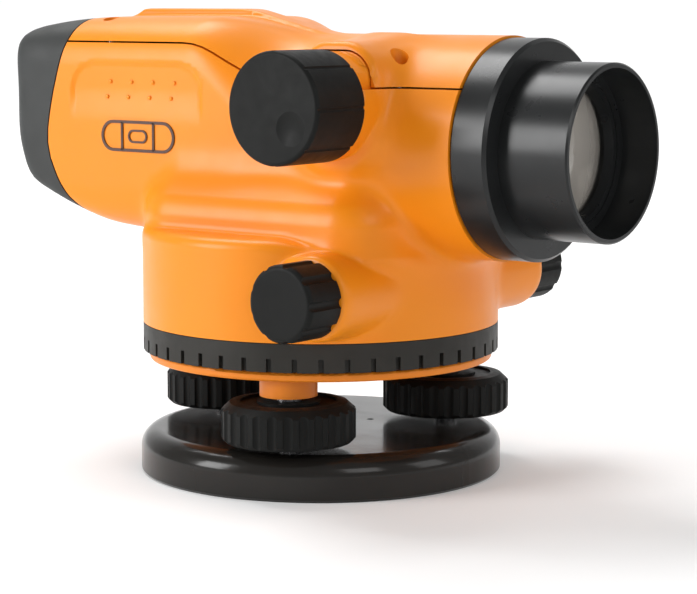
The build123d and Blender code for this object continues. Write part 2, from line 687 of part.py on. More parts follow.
def suspension_wires():
    wires = []
    for side in (-1, 1):
        for y in (-8, 8):
            top = (SWING_X + side * WIRE_TOP_X, y, WIRE_TOP_Z)
            foot = (SWING_X + side * WIRE_FOOT_X, y, WIRE_FOOT_Z)
            run = Line(top, foot)
            wires.append(sweep(Plane(origin=run @ 0, z_dir=run % 0) * Circle(0.15), path=run))
    return wires


def pendulum():
    arms = block(-34.5, -23.5, -10, 10, 111, 112.4)
    for side in (-1, 1):
        y0, y1 = sorted((side * 8.8, side * 10))
        arms += block(-32, -26, y0, y1, 90, 112)
    return arms + block(-40, -18, -7, 7, 89, 90.4) + block(-33, -25, -10, 10, 89, 90.4)


def pendulum_prism():
    return side_profile([(-39, 90.4), (-19, 90.4), (-24, 95.5), (-34, 95.5)], -6.5, 6.5)


def damping_magnets():
    return [block(-33, -25, *sorted((side * 10.8, side * 14)), 89.5, 94) for side in (-1, 1)]


# ---- reticle and eyepiece -----------------------------------------------------------------

def eyepiece_sleeve():
    sleeve = rod_x(13.5, SLEEVE_REAR, SLEEVE_FRONT)
    sleeve -= rod_x(EYEPIECE_R + RUNNING_FIT, SLEEVE_REAR - 1, SLEEVE_FRONT)
    sleeve -= rod_x(12.2, RETICLE_X - 6, SLEEVE_FRONT + 1)
    for angle in range(45, 360, 90):
        sleeve -= reticle_screw(angle, 1.25)
    return sleeve


def reticle_screw(angle, radius):
    """One radial adjusting screw, its axis through the reticle's centre."""
    shank = rod_z(radius, 10.8, 15.5)
    if radius < 1.25:
        shank += rod_z(2.2, 14.2, 16.2)
    return Pos(RETICLE_X + 1, 0, AXIS_Z) * Rot(angle, 0, 0) * shank


def reticle_cell():
    return rod_x(10.8, RETICLE_X - 2, RETICLE_X + 4) - rod_x(6.5, -80, -40) \
        - rod_x(7.6, RETICLE_X, RETICLE_X + 5)


def reticle():
    return rod_x(7.6, RETICLE_X, RETICLE_X + 1.6)


def reticle_screws():
    return [reticle_screw(angle, 1.2) for angle in range(45, 360, 90)]


def eyepiece_tube():
    return turned_x([(-110, 7.0), (-110, EYEPIECE_R), (-70, EYEPIECE_R), (-70, 7.0)])


def eyepiece_lenses():
    return [lens_x(x, x + 4.4, 7.0, 1.1, 1.1) for x in (-107.5, -95, -80)]


def diopter_ring():
    ring = turned_x([(-112, 8.6), (-112, DIOPTER_R - 1.2), (-110.8, DIOPTER_R),
                     (-103.2, DIOPTER_R), (-103.2, EYEPIECE_R + RUNNING_FIT),
                     (-110.1, EYEPIECE_R + RUNNING_FIT), (-110.1, 8.6)])
    for i in range(24):
        angle = tau * i / 24
        ring -= rod_x(0.7, -110.5, -103, 13.25 * cos(angle), AXIS_Z + 13.25 * sin(angle))
    return ring


# ---- circular level -----------------------------------------------------------------------

def level_screw_places():
    return [(LEVEL_X + 11.6 * cos(radians(a)), LEVEL_Y + 11.6 * sin(radians(a)))
            for a in (30, 150, 270)]


def level_housing():
    cup = rod_z(LEVEL_R, LEVEL_BOTTOM, LEVEL_TOP, LEVEL_X, LEVEL_Y)
    cup += rod_z(LEVEL_FLANGE_R, LEVEL_BOTTOM, LEVEL_BOTTOM + 2.5, LEVEL_X, LEVEL_Y)
    for x, y in level_screw_places():
        cup -= rod_z(0.8, 60, 90, x, y)
    return cup - rod_z(8.4, LEVEL_BOTTOM + 3, LEVEL_TOP + 1, LEVEL_X, LEVEL_Y)


def level_vial():
    vial = rod_z(8.4, LEVEL_BOTTOM + 3, LEVEL_TOP - 1.2, LEVEL_X, LEVEL_Y)
    return fillet(vial.edges().group_by(Axis.Z)[-1], 1.0)


def level_screws():
    screws = []
    for x, y in level_screw_places():
        head = rod_z(1.5, LEVEL_BOTTOM + 2.5, LEVEL_BOTTOM + 4, x, y)
        head += rod_z(0.8, LEVEL_BOTTOM, LEVEL_BOTTOM + 3, x, y)
        screws.append(head - block(x - 2, x + 2, y - 0.25, y + 0.25, LEVEL_BOTTOM + 3.4, 90))
    return screws


def level_mirror_holder():
    """Hood over the vial, open below and towards the eyepiece."""
    x0, x1, y1 = LEVEL_X - 11, LEVEL_X + 11, LEVEL_Y + 10
    side = [(x0, 94), (x0 + 2, 110), (x0 + 8, 112), (x1, 97), (x1, 94)]
    hood = side_profile(side, BODY_Y, y1)
    inner = [(x0 - 5, 92), (x0 - 5, 108), (x0 + 7, 109.4), (x1 - 2, 95.8), (x1 - 2, 92)]
    return hood - side_profile(inner, BODY_Y + 1.6, y1 - 1.6)


def level_mirror():
    """A thin mirror on the hood's slanted ceiling."""
    top, foot, thick = (LEVEL_X - 3.7, 108.9), (LEVEL_X + 8.5, 96.15), 0.85
    return side_profile([top, foot, (foot[0] - thick, foot[1] - thick),
                         (top[0] - thick, top[1] - thick)], BODY_Y + 2, LEVEL_Y + 8)


# ---- the list of nodes --------------------------------------------------------------------

def nodes():
    shafts = at_foot_screws(foot_screw_shaft())
    knobs = at_foot_screws(foot_screw_knob())
    parts = {}
    for name, shaft, knob in zip("abc", shafts, knobs):
        parts["foot_screw_shaft_" + name] = shaft
        parts["foot_screw_knob_" + name] = knob
    makers = [
        base_plate, tripod_thread_insert, spring_plate, spring_plate_screws, tribrach_body,
        foot_screw_bushes, spindle, clutch_nut, thrust_washer, spindle_screw, drive_gear,
        clutch_washer, circle_ring, circle_scale, main_housing, top_cover, rear_cover,
        cover_screws, circle_window, bearing_plate, bearing_plate_screws, bearing_bush,
        front_ring, objective_tube, objective_lens, lens_retaining_ring, focus_guide,
        focus_carriage, focusing_lens, focus_shaft, focus_bush, focus_knob, drive_shaft,
        drive_bushes, compensator_frame, fixed_prisms, suspension_wires, pendulum,
        pendulum_prism, damping_magnets, eyepiece_sleeve, reticle_cell, reticle,
        reticle_screws, eyepiece_tube, eyepiece_lenses, diopter_ring, level_housing,
        level_vial, level_screws, level_mirror_holder, level_mirror,
    ]
    for maker in makers:
        parts[maker.__name__] = maker()
    parts["drive_knob_near"] = drive_knob(-1)
    parts["drive_knob_far"] = drive_knob(1)
    return parts


def as_solids(shape):
    """The separate solids of a shape or of a list of shapes."""
    items = shape if isinstance(shape, (list, tuple)) else [shape]
    return [solid for item in items for solid in item.solids()]


for node, shape in nodes().items():
    solids = as_solids(shape)
    whole = solids[0] if len(solids) == 1 else Compound(solids)
    export_step(whole, os.path.join("parts", node + ".step"))
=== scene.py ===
"""The looks of the automatic level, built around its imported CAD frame.

Lengths are in millimetres until a mesh is made, which is where MM turns them into metres.
"""

import json
from math import cos, hypot, radians, sin, tau

import bpy
import numpy as np
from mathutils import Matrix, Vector

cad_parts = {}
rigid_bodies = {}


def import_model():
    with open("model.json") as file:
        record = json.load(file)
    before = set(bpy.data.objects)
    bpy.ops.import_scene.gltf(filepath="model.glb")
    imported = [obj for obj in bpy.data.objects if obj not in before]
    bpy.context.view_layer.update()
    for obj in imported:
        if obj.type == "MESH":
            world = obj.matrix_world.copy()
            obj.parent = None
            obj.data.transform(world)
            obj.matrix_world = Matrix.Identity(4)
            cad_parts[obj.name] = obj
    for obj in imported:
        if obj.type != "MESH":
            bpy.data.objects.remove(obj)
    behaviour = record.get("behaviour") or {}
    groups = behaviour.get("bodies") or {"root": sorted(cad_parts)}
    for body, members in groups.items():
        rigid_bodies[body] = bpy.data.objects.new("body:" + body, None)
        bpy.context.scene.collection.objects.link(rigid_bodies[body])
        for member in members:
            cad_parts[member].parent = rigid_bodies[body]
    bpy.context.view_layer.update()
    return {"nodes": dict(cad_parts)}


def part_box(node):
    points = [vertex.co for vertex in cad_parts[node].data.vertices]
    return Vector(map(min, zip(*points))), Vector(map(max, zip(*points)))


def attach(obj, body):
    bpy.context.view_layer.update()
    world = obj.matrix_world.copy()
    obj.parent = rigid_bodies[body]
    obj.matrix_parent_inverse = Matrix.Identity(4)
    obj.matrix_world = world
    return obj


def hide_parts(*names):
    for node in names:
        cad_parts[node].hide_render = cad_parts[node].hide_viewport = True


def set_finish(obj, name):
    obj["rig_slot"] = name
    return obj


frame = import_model()
NODES = frame["nodes"]
MM = 0.001


# ---- sizes and places, read from the frame ------------------------------------------------

def corners(node):
    """Lowest and highest corner of a CAD node, in millimetres."""
    low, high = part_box(node)
    return np.array(low) / MM, np.array(high) / MM


def centre(node):
    low, high = corners(node)
    return (low + high) / 2


HOUSING_LOW, HOUSING_HIGH = corners("main_housing")
COVER_LOW, COVER_HIGH = corners("top_cover")
REAR_LOW, REAR_HIGH = corners("rear_cover")
DRUM_R = HOUSING_HIGH[1]
DRUM_BOTTOM = HOUSING_LOW[2]
TUBE_FRONT = HOUSING_HIGH[0]
BODY_BACK = REAR_LOW[0]
BODY_Y = REAR_HIGH[1]
RAIL_TOP = COVER_HIGH[2]
SEAM_REAR, SEAM_FRONT = HOUSING_HIGH[2], COVER_LOW[2]
AXIS_Z = centre("objective_tube")[2]
FOCUS_X, _, FOCUS_Z = centre("focus_knob")
FOCUS_BOSS_OUT = -corners("focus_bush")[0][1]
DRIVE_X, _, DRIVE_Z = centre("drive_bushes")
DRIVE_BOSS_OUT = corners("drive_bushes")[1][1] + 0.1
LEVEL_X, LEVEL_Y, _ = centre("level_housing")
LEVEL_BOTTOM = corners("level_housing")[0][2]
LEVEL_R = corners("level_housing")[1][0] - LEVEL_X

# drum
DRUM_TOP, DRUM_FRONT_TOP = 77.5, 72.0    # it is lower under the objective
DRUM_FALL_X, DRUM_FALL = 18.0, 28.0      # where its top starts to fall, and over what length
DRUM_ROUND = 3.2
DRUM_WALL, DRUM_CEILING = 3.2, 70.0

# ledge on the drum, whose top rises from its edge towards the body
LEDGE_X0, LEDGE_X1, LEDGE_Y = -44.0, 51.0, 43.0
LEDGE_BOTTOM, LEDGE_TOP = 70.0, 85.4
LEDGE_SLOPE, LEDGE_CREST = 0.95, 98.0
LEDGE_CORNER, LEDGE_ROUND = 16.0, 3.0

# telescope body, which turns into the front tube
BODY_BOTTOM, BODY_TOP, BODY_CORNER = 73.0, 142.0, 16.0
TAPER_BACK, TAPER_FRONT = -27.0, 7.0
TUBE_R, TUBE_BORE = 33.3, 29.85
WALL = 3.0
COLLAR_R, COLLAR_TOP = 15.0, 78.0        # collar round the bearing bush, inside the body

# focus boss, on a flange
FLANGE_X, FLANGE_Z, FLANGE_CORNER = 14.7, 18.6, 12.0    # half sizes
FLANGE_OUT = 36.5
FOCUS_BOSS_R = 15.6
FOCUS_ROOT = 12.0           # the flange and the boss start this far from the middle plane

# drive bosses, each in an oval swelling that runs back from it
DRIVE_BOSS_R = 12.4
OVAL_BACK, OVAL_FRONT, OVAL_Z = 17.0, 12.2, 11.8
DRIVE_ROOT = 20.0

# sighting rail, with one steep and one gentle end
RAIL_X0, RAIL_X1, RAIL_Y = -74.4, -16.0, 4.0
RAIL_REAR_RUN, RAIL_FRONT_RUN = 1.7, 4.0    # how far each end runs for 1 mm of height
RAIL_REAR_SCALE, RAIL_FRONT_SCALE = 0.5, 0.24    # turn those into distances, nearly

# panel in the near side
PANEL_X0, PANEL_X1, PANEL_TOP = -75.0, -20.5, 127.2
PANEL_HALF_Z, PANEL_CORNER, PANEL_DEPTH = 30.0, 9.0, 0.8
PANEL_FADE_Z, PANEL_FADE = 108.0, 12.0      # its depth grows from nothing over this height

# reach of the soft hollows and edges between the masses
BODY_LEDGE_BLEND, FLANGE_BLEND = 9.0, 13.0
DRUM_BLEND, DRUM_FRONT_BLEND = 3.0, 9.0     # the second is added under the objective
DRUM_BLEND_X, DRUM_BLEND_RUN = 22.0, 26.0
DRIVE_BLEND, RAIL_BLEND = 2.5, 2.5

# holes in the castings
BEARING_R, BEARING_TOP = 11.0, 85.0
DRIVE_BORE_R = 5.55
FOCUS_BORE_R, FOCUS_BORE_Y = 6.05, -18.0
EYEPIECE_BORE_R, EYEPIECE_BORE_X = 13.6, -80.0
SCREW_HOLE_R = 2.7
FRONT_SCREW_X, FRONT_SCREW_Y, FRONT_SCREW_SEAT = 47.5, 23.5, 122.2
REAR_SCREW_Y = 22.0
WINDOW_X, WINDOW_Z = -50.0, 53.7           # the scale is read through this, in the drum's back
WINDOW_HALF_Y, WINDOW_HALF_Z, WINDOW_CORNER = 9.0, 4.5, 0.8
NEAR_SIDE_Y = -12.0         # the tongue round the focus boss is only on this side
POCKET_Y = 30.0             # the circular level's pocket is cut outside this

GAP = 0.55                  # width of the joints between the three castings
STEP = 1.15                 # cell size of the surface grid


# ---- distance functions -------------------------------------------------------------------

def soft_min(a, b, reach):
    """Smaller of two distances, with a hollow of that reach where they are close."""
    near = np.maximum(reach - np.abs(a - b), 0) / reach
    return np.minimum(a, b) - near ** 3 * reach / 6


def soft_max(a, b, reach):
    return -soft_min(-a, -b, reach)


def ease(t):
    t = np.clip(t, 0, 1)
    return t * t * (3 - 2 * t)


def rounded_box(u, v, half_u, half_v, corner):
    """Distance to a flat rounded rectangle about the origin."""
    a, b = np.abs(u) - half_u + corner, np.abs(v) - half_v + corner
    outside = np.hypot(np.maximum(a, 0), np.maximum(b, 0))
    return outside + np.minimum(np.maximum(a, b), 0) - corner


def round_edge(side, face, radius):
    """Inside both a side wall and a face, with a round edge where they meet."""
    a, b = side + radius, face + radius
    outside = np.hypot(np.maximum(a, 0), np.maximum(b, 0))
    return outside + np.minimum(np.maximum(a, b), 0) - radius


def eased_corners(points, reach, count=4):
    """The same closed outline with every corner turned into a short curve."""
    points = [np.array(p, float) for p in points]
    outline = []
    for before, corner, after in zip(points[-1:] + points[:-1], points, points[1:] + points[:1]):
        back, on = before - corner, after - corner
        back *= min(reach / hypot(*back), 0.45)
        on *= min(reach / hypot(*on), 0.45)
        for t in np.linspace(0, 1, count):
            outline.append(tuple(corner + back * (1 - t) ** 2 + on * t ** 2))
    return outline


def polygon(u, v, outline):
    """Distance to a closed outline, negative inside."""
    nearest = np.full(u.shape, np.inf, u.dtype)
    sign = np.ones(u.shape, u.dtype)
    for (u0, v0), (u1, v1) in zip(outline, outline[1:] + outline[:1]):
        du, dv = u1 - u0, v1 - v0
        wu, wv = u - u0, v - v0
        t = np.clip((wu * du + wv * dv) / (du * du + dv * dv), 0, 1)
        nearest = np.minimum(nearest, (wu - du * t) ** 2 + (wv - dv * t) ** 2)
        above, below, left = v >= v0, v < v1, du * wv > dv * wu
        sign = np.where((above & below & left) | ~(above | below | left), -sign, sign)
    return sign * np.sqrt(nearest)


# ---- the housing's masses -----------------------------------------------------------------

OUTLINE_END_X = -40.0       # the side outline only shapes what lies behind this
FAR_INSIDE = -40.0          # its distance ahead of that, where it has no say
PLAN_END_X = 120.0          # the plan's front end, well ahead of the housing's
REAR_CORNER = 14.0
SIDE_OUTLINE = eased_corners(
    [(40, 171), (-86, 142.2), (-101, 138.5), (BODY_BACK, 129.5), (-104, 119.5), (-104.5, 105),
     (-97, 89), (-66, 74.5), (-50, 71.8), (40, 55)], 5)
JOINT_OUTLINE = eased_corners(
    [(-140, 170), (-75.5, 170), (-77.2, 137), (-84.6, 115), (-87.3, 98.8), (-76.5, 81),
     (-62, 73.0), (-50, 40), (-140, 40)], 9)
SEAM_OUTLINE = eased_corners(
    [(-140, SEAM_REAR), (-23, SEAM_REAR), (-6, 125.2), (2, SEAM_FRONT), (120, SEAM_FRONT),
     (120, 180), (-140, 180)], 6)
TONGUE_X, TONGUE_Z, TONGUE_CORNER = 13.0, 20.7, 9.0


def telescope(points, inset=0.0):
    """Rounded box that turns into the round front tube, and is closed at the eyepiece end."""
    x, y, z = points.T
    turn = ease((x - TAPER_BACK) / (TAPER_FRONT - TAPER_BACK))

    def mix(box, tube):
        return box + (tube - box) * turn

    middle = mix((BODY_BOTTOM + BODY_TOP) / 2, AXIS_Z)
    wide = mix(BODY_Y, TUBE_R) - inset
    high = mix((BODY_TOP - BODY_BOTTOM) / 2, TUBE_R) - inset
    corner = mix(BODY_CORNER, TUBE_R) - inset
    section = rounded_box(y, z - middle, wide, high, corner)
    rear = x < OUTLINE_END_X
    outline = np.full(x.shape, FAR_INSIDE, x.dtype)
    outline[rear] = polygon(x[rear], z[rear], SIDE_OUTLINE) + inset
    half = (PLAN_END_X - BODY_BACK) / 2
    plan = rounded_box(x - BODY_BACK - half, y, half - inset, BODY_Y + 1.2 - inset,
                       REAR_CORNER - inset)
    return soft_max(soft_max(section, outline, 9), plan, 5)


def recess(points):
    """Depth of the shallow panel in the housing's near side, fading out downwards."""
    x, y, z = points.T
    half, middle = (PANEL_X1 - PANEL_X0) / 2, (PANEL_X1 + PANEL_X0) / 2
    edge = rounded_box(x - middle, z - PANEL_TOP + PANEL_HALF_Z, half, PANEL_HALF_Z, PANEL_CORNER)
    fade = ease((z - PANEL_FADE_Z) / PANEL_FADE)
    return PANEL_DEPTH * ease(0.5 - edge / 2.0) * fade * (y < 0)


def drum(points):
    x, y, z = points.T
    top = DRUM_TOP + (DRUM_FRONT_TOP - DRUM_TOP) * ease((x - DRUM_FALL_X) / DRUM_FALL)
    return round_edge(np.hypot(x, y) - DRUM_R, z - top, DRUM_ROUND)


def ledge(points):
    x, y, z = points.T
    side = rounded_box(x - (LEDGE_X0 + LEDGE_X1) / 2, y, (LEDGE_X1 - LEDGE_X0) / 2, LEDGE_Y,
                       LEDGE_CORNER)
    top = (z - LEDGE_TOP + LEDGE_SLOPE * side) / hypot(1, LEDGE_SLOPE)
    top = np.maximum(np.maximum(top, z - LEDGE_CREST), LEDGE_BOTTOM - z)
    return round_edge(side, top, LEDGE_ROUND)


def drive_boss(points, side):
    """Round boss of one drive knob, on side -1 or 1, with the oval swelling round it."""
    x, y, z = points.T
    out = side * y
    boss = round_edge(np.hypot(x - DRIVE_X, z - DRIVE_Z) - DRIVE_BOSS_R, out - DRIVE_BOSS_OUT,
                      1.2)
    oval = rounded_box(x - DRIVE_X - (OVAL_FRONT - OVAL_BACK) / 2, z - DRIVE_Z,
                       (OVAL_FRONT + OVAL_BACK) / 2, OVAL_Z, OVAL_Z)
    oval = round_edge(oval, out - DRIVE_BOSS_OUT + 1, 2.5)
    return soft_min(np.maximum(boss, DRIVE_ROOT - out), np.maximum(oval, DRIVE_ROOT - out), 4)


def focus_flange(points):
    x, y, z = points.T
    flange = rounded_box(x - FOCUS_X, z - FOCUS_Z, FLANGE_X, FLANGE_Z, FLANGE_CORNER)
    return np.maximum(round_edge(flange, -y - FLANGE_OUT, 2.2), y + FOCUS_ROOT)


def focus_boss(points):
    x, y, z = points.T
    across = np.hypot(x - FOCUS_X, z - FOCUS_Z)
    boss = round_edge(across - FOCUS_BOSS_R, -y - FOCUS_BOSS_OUT, 0.8)
    return np.maximum(boss, y + FOCUS_ROOT)


def rail(points):
    x, y, z = points.T
    bar = round_edge(np.abs(y) - RAIL_Y, z - RAIL_TOP, 0.6)
    rise = z - BODY_TOP
    bar = soft_max(bar, (RAIL_X0 - x + rise * RAIL_REAR_RUN) * RAIL_REAR_SCALE, 1.5)
    bar = soft_max(bar, (x - RAIL_X1 + rise * RAIL_FRONT_RUN) * RAIL_FRONT_SCALE, 1.5)
    return np.maximum(bar, BODY_TOP - 6 - z)


def masses(points):
    """Drum, ledge, telescope body, bosses and sighting rail, all blended into one form."""
    front = ease((points[:, 0] - DRUM_BLEND_X) / DRUM_BLEND_RUN)
    form = soft_min(telescope(points) + recess(points), ledge(points), BODY_LEDGE_BLEND)
    form = soft_min(form, drum(points), DRUM_BLEND + DRUM_FRONT_BLEND * front)
    for side in (-1, 1):
        form = soft_min(form, drive_boss(points, side), DRIVE_BLEND)
    form = soft_min(form, focus_flange(points), FLANGE_BLEND)
    form = soft_min(form, focus_boss(points), 1.5)
    return soft_min(form, rail(points), RAIL_BLEND)


def hollow(points):
    """The room inside the telescope body, without the collar round the bearing bush."""
    x, y, z = points.T
    collar = round_edge(np.hypot(x, y) - COLLAR_R, z - COLLAR_TOP, 0.5)
    return soft_max(telescope(points, WALL), -collar, 1)


def tongue(points):
    """The part of the housing that runs up round the focus boss, into the top cover."""
    x, _, z = points.T
    return rounded_box(x - FOCUS_X, z - SEAM_FRONT + 10, TONGUE_X, TONGUE_Z, TONGUE_CORNER)


# ---- shapes: which surface is which -------------------------------------------------------

FUNCTIONS = []
SAVED = {"grid": None}


class Shape:
    """A solid whose sample(points) gives distances and the number of the surface they are from."""

    def __init__(self, sample):
        self.sample = sample

    def __and__(self, other):
        return self.join(other, 1)

    def __sub__(self, other):
        return self.join(other, -1)

    def join(self, other, turn):
        """What both solids have in common; turn -1 takes the outside of the other one."""
        def sample(points):
            mine, my_number = self.sample(points)
            theirs, their_number = other.sample(points)
            theirs, their_number = turn * theirs, turn * their_number
            first = mine >= theirs
            return np.where(first, mine, theirs), np.where(first, my_number, their_number)
        return Shape(sample)


def surface(function, grow=0.0):
    """A solid from one smooth distance function, larger all round by grow.
    Its values on the grid are kept, because several castings share the same surfaces."""
    FUNCTIONS.append(lambda points: function(points) - grow)
    number = len(FUNCTIONS)
    numbered = FUNCTIONS[-1]

    def sample(points):
        if points is SAVED["grid"]:
            if number not in SAVED:
                SAVED[number] = numbered(points)
            values = SAVED[number]
        else:
            values = numbered(points)
        return values, np.full(len(points), number, np.int16)
    return Shape(sample)


def half_space(axis, at, way):
    """Everything on one side of a plane: below it for way 1, above it for way -1."""
    return surface(lambda points: way * (points[:, axis] - at))


def bore(axis, place, radius):
    """An endless cylinder along an axis, through a place given by the other two numbers."""
    i, j = [k for k in range(3) if k != axis]
    return surface(lambda points: np.hypot(points[:, i] - place[0], points[:, j] - place[1])
                   - radius)


# ---- meshing ------------------------------------------------------------------------------

def slopes(points, numbers):
    """Unit outward direction of each point's own surface."""
    out = np.zeros_like(points)
    reach = 0.02
    for number in np.unique(np.abs(numbers)):
        chosen = np.abs(numbers) == number
        function, here = FUNCTIONS[number - 1], points[chosen]
        for axis in range(3):
            shift = np.zeros(3, points.dtype)
            shift[axis] = reach
            out[chosen, axis] = function(here + shift) - function(here - shift)
    out *= np.sign(numbers)[:, None]
    return out / np.maximum(np.linalg.norm(out, axis=1), 1e-12)[:, None]


def distances(points, numbers):
    out = np.zeros(len(points), points.dtype)
    for number in np.unique(np.abs(numbers)):
        chosen = np.abs(numbers) == number
        out[chosen] = FUNCTIONS[number - 1](points[chosen])
    return out * np.sign(numbers)


def crossings(values, origin, axis):
    """Grid edges along an axis that the surface cuts: where, the lower cell and which way."""
    count = values.shape[axis]
    low = np.take(values, range(count - 1), axis)
    high = np.take(values, range(1, count), axis)
    cut = np.argwhere((low < 0) != (high < 0))
    a, b = low[tuple(cut.T)], high[tuple(cut.T)]
    at = cut.astype(np.float64)
    at[:, axis] += a / (a - b)
    return origin + at * STEP, cut, a < 0


def mesh_shape(shape, values, origin):
    """Vertices and quads of a shape, with its creases kept sharp."""
    size = np.array(values.shape)
    stride = np.array([size[1] * size[2], size[2], 1])
    cells, places, normals, quads = [], [], [], []
    for axis in range(3):
        at, cut, filled_below = crossings(values, origin, axis)
        others = [k for k in range(3) if k != axis]
        inner = np.all(cut[:, others] > 0, axis=1)
        at, cut, filled_below = at[inner], cut[inner], filled_below[inner]
        _, number = shape.sample(at)
        normal = slopes(at, number)
        base = cut @ stride
        first, second = stride[others[0]], stride[others[1]]
        ring = np.stack([base - first - second, base - second, base, base - first], 1)
        flip = filled_below if axis != 1 else ~filled_below
        ring[~flip] = ring[~flip][:, ::-1]
        quads.append(ring)
        for k in range(4):
            cells.append(ring[:, k])
            places.append(at)
            normals.append(normal)
    quads = np.concatenate(quads)
    cells, places, normals = map(np.concatenate, (cells, places, normals))
    used, index = np.unique(cells, return_inverse=True)
    total = np.bincount(index).astype(float)

    def gather(parts):
        return np.bincount(index, parts, len(used))

    middle = np.stack([gather(places[:, k]) for k in range(3)], 1) / total[:, None]
    offset = np.einsum("ij,ij->i", normals, places - middle[index])
    square = np.empty((len(used), 3, 3))
    for j in range(3):
        for k in range(3):
            square[:, j, k] = gather(normals[:, j] * normals[:, k])
    right = np.stack([gather(normals[:, k] * offset) for k in range(3)], 1)
    move = np.linalg.solve(square + 0.03 * np.eye(3), right[:, :, None])[:, :, 0]
    move = np.clip(move, -STEP, STEP)
    return middle + move, np.searchsorted(used, quads)


def settle(shape, points, quads):
    """Puts each vertex on every surface that its faces belong to."""
    for _ in range(3):
        _, number = shape.sample(points[quads].mean(axis=1))
        pairs = np.unique(np.stack([quads.ravel(), np.repeat(number, 4)], 1), axis=0)
        order = np.arange(len(pairs)) - np.searchsorted(pairs[:, 0], pairs[:, 0])
        pairs, order = pairs[order < 3], order[order < 3]
        at = points[pairs[:, 0]]
        rows = np.zeros((len(points), 3, 3))
        off = np.zeros((len(points), 3))
        rows[pairs[:, 0], order] = slopes(at, pairs[:, 1])
        off[pairs[:, 0], order] = distances(at, pairs[:, 1])
        flat = np.bincount(pairs[:, 0], minlength=len(points)) == 1
        step = np.zeros_like(points)
        step[flat] = rows[flat, 0] * off[flat, 0][:, None]
        crease = ~flat
        inverse = np.linalg.pinv(rows[crease], rcond=0.15)
        step[crease] = np.einsum("nij,nj->ni", inverse, off[crease])
        points = points - np.clip(step, -STEP / 2, STEP / 2)
    return points


def casting(name, shape, grid, grid_shape, origin):
    """A Blender object of a shape, with normals taken from its distance functions."""
    values, _ = shape.sample(grid)
    values = values.reshape(grid_shape).astype(np.float64)
    points, quads = mesh_shape(shape, values, origin)
    points = settle(shape, points, quads)
    _, number = shape.sample(points[quads].mean(axis=1))
    loops = quads.ravel()
    normals = slopes(points[loops], np.repeat(number, 4))
    mesh = bpy.data.meshes.new(name)
    mesh.from_pydata((points * MM).tolist(), [], quads.tolist())
    mesh.polygons.foreach_set("use_smooth", [True] * len(quads))
    mesh.normals_split_custom_set(normals.tolist())
    piece = bpy.data.objects.new(name, mesh)
    bpy.context.collection.objects.link(piece)
    return piece


# ---- the three castings -------------------------------------------------------------------

def behind_joint(points):
    """Distance to the rear cover's side of its joint."""
    return polygon(points[:, 0], points[:, 2], JOINT_OUTLINE)


def above_seam(points):
    """Distance to the top cover's side of its seam."""
    return polygon(points[:, 0], points[:, 2], SEAM_OUTLINE)


def scale_window(points):
    """Seen along X, the opening over the circle's scale."""
    return rounded_box(points[:, 1], points[:, 2] - WINDOW_Z, WINDOW_HALF_Y, WINDOW_HALF_Z,
                       WINDOW_CORNER)


def whole_case():
    """The hollow form that the three castings are cut from."""
    outer = surface(masses) - half_space(2, DRUM_BOTTOM, 1)
    outer = outer & half_space(0, TUBE_FRONT, 1)
    room = surface(hollow) & half_space(0, TAPER_FRONT, 1)
    tube = bore(0, (0, AXIS_Z), TUBE_BORE) - half_space(0, TAPER_FRONT - 2, 1)
    well = bore(2, (0, 0), DRUM_R - DRUM_WALL) & half_space(2, DRUM_CEILING, 1)
    bearing = bore(2, (0, 0), BEARING_R) & half_space(2, BEARING_TOP, 1)
    case = outer - room - tube - well - bearing
    pocket = bore(2, (LEVEL_X, LEVEL_Y), LEVEL_R + 0.3) - half_space(2, LEVEL_BOTTOM, 1)
    return case - (pocket - half_space(1, POCKET_Y, 1))


def housing_shape(case, near):
    below_seam = surface(above_seam, GAP / 2) - (surface(tongue, -GAP / 2) & near)
    housing = case - surface(behind_joint, GAP / 2) - below_seam
    housing = housing - bore(1, (DRIVE_X, DRIVE_Z), DRIVE_BORE_R)
    housing = housing - (bore(1, (FOCUS_X, FOCUS_Z), FOCUS_BORE_R)
                         & half_space(1, FOCUS_BORE_Y, 1))
    return housing - (half_space(0, WINDOW_X, 1) & surface(scale_window))


def cover_shape(case, near):
    cover = (case & surface(above_seam, -GAP / 2)) - surface(behind_joint, GAP / 2)
    cover = cover - (surface(tongue, GAP / 2) & near)
    cover = cover - (bore(1, (FOCUS_X, FOCUS_Z), FOCUS_BOSS_R + 0.2)
                     & half_space(1, -FLANGE_OUT, 1))
    screw_low, screw_high = corners("cover_screws")
    for x, y, seat in ((FRONT_SCREW_X, FRONT_SCREW_Y, FRONT_SCREW_SEAT),
                       (screw_low[0] + 2.5, REAR_SCREW_Y, screw_high[2] - 1.8)):
        for side in (-1, 1):
            cover = cover - (bore(2, (x, side * y), SCREW_HOLE_R) - half_space(2, seat, 1))
    return cover


def rear_shape(case):
    rear = case & surface(behind_joint, -GAP / 2)
    return rear - (bore(0, (0, AXIS_Z), EYEPIECE_BORE_R) & half_space(0, EYEPIECE_BORE_X, 1))


